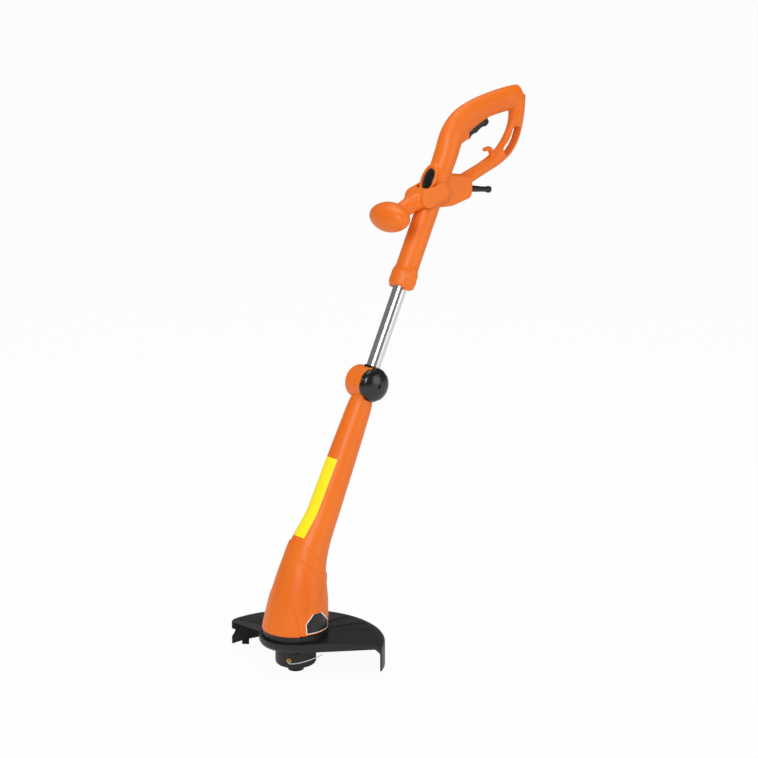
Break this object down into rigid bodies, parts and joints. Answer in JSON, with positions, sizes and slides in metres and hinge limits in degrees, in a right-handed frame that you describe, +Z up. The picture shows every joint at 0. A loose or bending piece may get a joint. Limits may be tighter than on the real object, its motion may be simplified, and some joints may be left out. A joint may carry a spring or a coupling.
{
  "type": "string trimmer",
  "caption": "Corded lawn string trimmer: bump-feed cutting head under a sector guard, flared motor housing, tilting tube, D-shaped rear handle and front knob handle.",
  "frame": {"origin": "centre of the bump cap's underside, where the tool stands on the ground", "axes": "+Z up along the cutting head's axis, +X towards the user (the side the shaft leans to), +Y the user's right"},
  "size_m": [0.5805, 0.2841, 0.9955],
  "materials": {
    "orange": "satin orange ABS, injection moulded",
    "black": "black polypropylene, fine moulded grain",
    "knob_black": "glossy black nylon",
    "aluminium": "bright drawn tube",
    "steel": "zinc plated",
    "dark_steel": "laminated armature and motor can",
    "brass": "turned brass",
    "rubber": "soft black PVC",
    "nylon": "extruded nylon line",
    "label_yellow": "blank yellow self-adhesive film",
    "badge_black": "blank black plate"
  },
  "bodies": {
    "lower_unit": {"housing_left": "orange", "housing_right": "orange", "housing_screws": "steel", "motor_base": "black", "motor_can": "dark_steel", "motor_bearings": "steel", "guard": "black", "guard_screws": "steel", "line_cutter": "dark_steel", "cutter_screw": "steel", "badge_plate": "badge_black", "label_strip": "label_yellow", "clamp_nut": "steel"},
    "cutting_head": {"head_drum": "black", "head_cover": "black", "line_eyelet": "brass", "trimmer_line": "nylon", "motor_shaft": "steel", "motor_armature": "dark_steel"},
    "bump_spool": {"bump_cap": "black", "line_spool": "black", "line_coil": "nylon", "feed_spring": "steel"},
    "clamp": {"clamp_knob": "knob_black", "clamp_bolt": "steel"},
    "upper_unit": {"tilt_lug": "black", "shaft_tube": "aluminium", "handle_left": "orange", "handle_right": "orange", "handle_screws": "steel", "power_switch": "black", "trigger_pin": "steel", "cord_boot": "rubber"},
    "trigger": {"trigger": "black"},
    "lock_button": {"lock_button": "knob_black"},
    "aux_handle": {"aux_handle": "orange"}
  },
  "joints": [
    {"name": "head_spin", "type": "hinge", "parent": "lower_unit", "child": "cutting_head", "pos_m": [0, 0, 0.05], "axis": [0, 0, 1], "continuous": true},
    {"name": "bump_feed", "type": "slide", "parent": "cutting_head", "child": "bump_spool", "axis": [0, 0, 1], "range_m": [0, 0.004], "stiffness_N_per_m": 1500, "springref_m": -0.004, "deforming": ["feed_spring"]},
    {"name": "clamp_turn", "type": "hinge", "parent": "lower_unit", "child": "clamp", "pos_m": [0.15979, 0, 0.49365], "axis": [0, 1, 0], "range_deg": [0, 360]},
    {"name": "shaft_tilt", "type": "hinge", "parent": "lower_unit", "child": "upper_unit", "pos_m": [0.15979, 0, 0.49365], "axis": [0, 1, 0], "range_deg": [0, 50]},
    {"name": "trigger_pull", "type": "hinge", "parent": "upper_unit", "child": "trigger", "pos_m": [0.42413, 0, 0.94714], "axis": [0, 1, 0], "range_deg": [0, 8], "stiffness_Nm_per_rad": 2, "springref_deg": -8.59},
    {"name": "lock_press", "type": "slide", "parent": "upper_unit", "child": "lock_button", "axis": [0.9114, 0, -0.4115], "range_m": [0, 0.003], "stiffness_N_per_m": 800, "springref_m": -0.003},
    {"name": "aux_pivot", "type": "hinge", "parent": "upper_unit", "child": "aux_handle", "pos_m": [0.30753, 0, 0.82084], "axis": [0, 1, 0], "range_deg": [-10, 15]}
  ]
}
